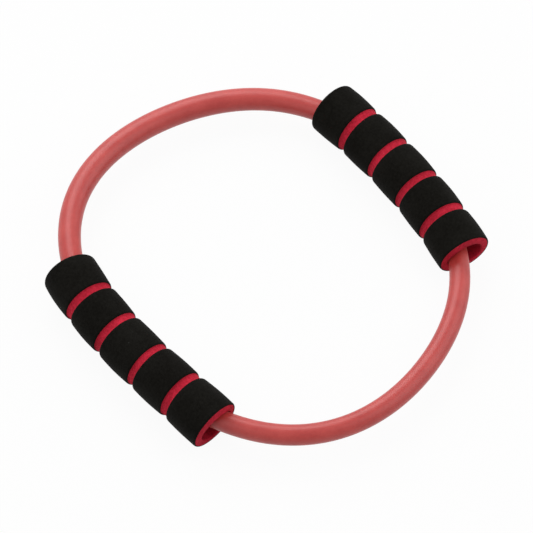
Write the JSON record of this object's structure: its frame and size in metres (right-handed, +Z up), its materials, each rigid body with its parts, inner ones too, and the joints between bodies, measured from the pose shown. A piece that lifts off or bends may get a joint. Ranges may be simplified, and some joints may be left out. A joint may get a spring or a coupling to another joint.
{
  "type": "stretch ring",
  "caption": "Oval resistance ring lying flat: an elastic rubber tube closed into a loop through curved, banded foam grips at opposite sides, pulled apart by hands or feet.",
  "frame": {"origin": "on the floor below the middle of the ring, which lies flat", "axes": "+Z up; +X from the left grip to the right grip; +Y along the grips, in the ring's plane"},
  "size_m": [0.217, 0.234, 0.03],
  "materials": {
    "tube_rubber": "semi-matt salmon red rubber",
    "core_foam": "matt crimson closed-cell foam",
    "skin_foam": "matt black closed-cell foam",
    "plug_plastic": "plain moulded plastic"
  },
  "bodies": {
    "tube": {"resistance_tube": "tube_rubber"},
    "tube_joint": {"joint_plug": "plug_plastic"},
    "right_grip": {"right_grip_core": "core_foam", "right_grip_band_1": "skin_foam", "right_grip_band_2": "skin_foam", "right_grip_band_3": "skin_foam", "right_grip_band_4": "skin_foam", "right_grip_band_5": "skin_foam"},
    "left_grip": {"left_grip_core": "core_foam", "left_grip_band_1": "skin_foam", "left_grip_band_2": "skin_foam", "left_grip_band_3": "skin_foam", "left_grip_band_4": "skin_foam", "left_grip_band_5": "skin_foam"}
  },
  "joints": [
    {"name": "stretch", "type": "slide", "parent": "tube", "child": "tube_joint", "axis": [-1, 0, 0], "range_m": [0, 0.18], "stiffness_N_per_m": 400, "deforming": ["resistance_tube"]},
    {"name": "right_grip_slide", "type": "hinge", "parent": "tube", "child": "right_grip", "pos_m": [-0.02121, -0.00415, 0.015], "axis": [0, 0, 1], "range_deg": [-3, 5]},
    {"name": "left_grip_slide", "type": "hinge", "parent": "tube_joint", "child": "left_grip", "pos_m": [0.04714, 0.00434, 0.015], "axis": [0, 0, 1], "range_deg": [-5, 5]}
  ]
}
